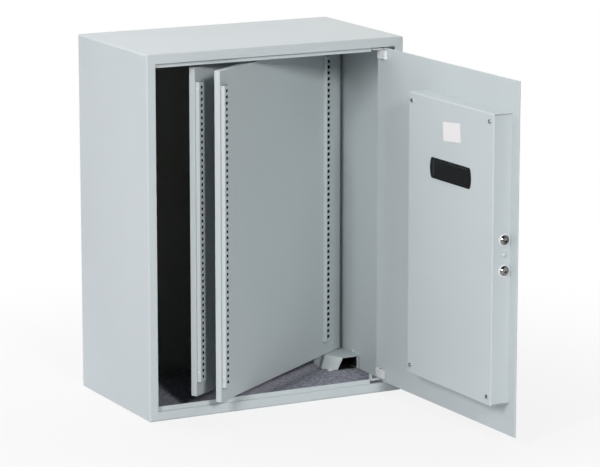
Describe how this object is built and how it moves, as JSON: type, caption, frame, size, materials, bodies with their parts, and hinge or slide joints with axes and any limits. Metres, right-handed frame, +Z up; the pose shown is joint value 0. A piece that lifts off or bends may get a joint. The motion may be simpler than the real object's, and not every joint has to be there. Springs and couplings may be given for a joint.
{
  "type": "key cabinet",
  "caption": "Steel key cabinet with a right-hung flush door that carries a deep lock case with round bolts, and swing-out leaf panels with slotted rails inside.",
  "frame": {"origin": "centre of the cabinet's underside, on the floor", "axes": "+Z up, +X to the right when facing the cabinet, front towards -Y"},
  "size_m": [0.6329, 0.8987, 0.8],
  "materials": {
    "paint": "light grey fine-grained powder coat, semi-matt",
    "steel": "zinc-plated turned steel",
    "black_plastic": "satin black moulding",
    "felt": "dark blue-grey mottled needle felt",
    "label": "blank white sticker"
  },
  "bodies": {
    "cabinet": {"left_wall": "paint", "right_wall": "paint", "top_panel": "paint", "bottom_panel": "paint", "rear_panel": "paint", "left_stile": "paint", "right_stile": "paint", "top_rail": "paint", "bottom_rail": "paint", "bottom_stop": "paint", "top_stop": "paint", "bolt_keeper": "paint", "floor_mat": "felt", "lower_hinge_bracket": "paint", "upper_hinge_bracket": "paint", "lower_hinge_pin": "steel", "upper_hinge_pin": "steel", "lower_leaf_bracket": "paint", "upper_leaf_bracket": "paint", "wall_rivet": "paint"},
    "door": {"door_plate": "paint", "lower_hinge_block": "paint", "upper_hinge_block": "paint", "lock_case": "paint", "lower_case_rail": "steel", "upper_case_rail": "steel", "lower_hinge_side_screw": "steel", "lower_free_side_screw": "steel", "upper_hinge_side_screw": "steel", "upper_free_side_screw": "steel", "blank_label": "label", "insert_bezel": "black_plastic", "insert_lid": "black_plastic", "cell_tray": "black_plastic", "lock_body": "steel", "upper_collar": "steel", "lower_collar": "steel", "case_rivet": "paint", "knob_rosette": "steel", "entry_panel": "black_plastic"},
    "bolt_work": {"upper_bolt": "steel", "lower_bolt": "steel", "bolt_carriage": "steel"},
    "knob": {"turn_knob": "black_plastic", "knob_spindle": "steel", "drive_crank": "steel"},
    "front_leaf": {"front_leaf_panel": "paint", "front_leaf_cover": "paint", "front_leaf_free_rail": "paint", "front_leaf_pivot_rail": "paint", "front_leaf_lower_pivot": "steel", "front_leaf_upper_pivot": "steel"},
    "rear_leaf": {"rear_leaf_panel": "paint", "rear_leaf_cover": "paint", "rear_leaf_free_rail": "paint", "rear_leaf_pivot_rail": "paint", "rear_leaf_lower_pivot": "steel", "rear_leaf_upper_pivot": "steel"}
  },
  "joints": [
    {"name": "door_hinge", "type": "hinge", "parent": "cabinet", "child": "door", "pos_m": [0.262, -0.17, 0.4], "axis": [0, 0, 1], "range_deg": [-91.5, 18]},
    {"name": "front_leaf_swing", "type": "hinge", "parent": "cabinet", "child": "front_leaf", "pos_m": [0.2906, 0.0975, 0.4], "axis": [0, 0, 1], "range_deg": [-35.01, 6.9]},
    {"name": "rear_leaf_swing", "type": "hinge", "parent": "cabinet", "child": "rear_leaf", "pos_m": [0.287, 0.1346, 0.4], "axis": [0, 0, 1], "range_deg": [-30.86, 6.08]},
    {"name": "knob_turn", "type": "hinge", "parent": "door", "child": "knob", "pos_m": [0.27299, -0.58986, 0.4105], "axis": [0.9997, 0.0262, 0], "range_deg": [0, 60]},
    {"name": "bolt_throw", "type": "slide", "parent": "door", "child": "bolt_work", "axis": [0.0262, -0.9997, 0], "range_m": [0, 0.0281]}
  ],
  "couplings": [
    {"joint": "front_leaf_swing", "follows": "door_hinge", "ratio": 0.38251},
    {"joint": "rear_leaf_swing", "follows": "door_hinge", "ratio": 0.33716},
    {"joint": "bolt_throw", "follows": "knob_turn", "m_per_rad": 0.026738}
  ]
}
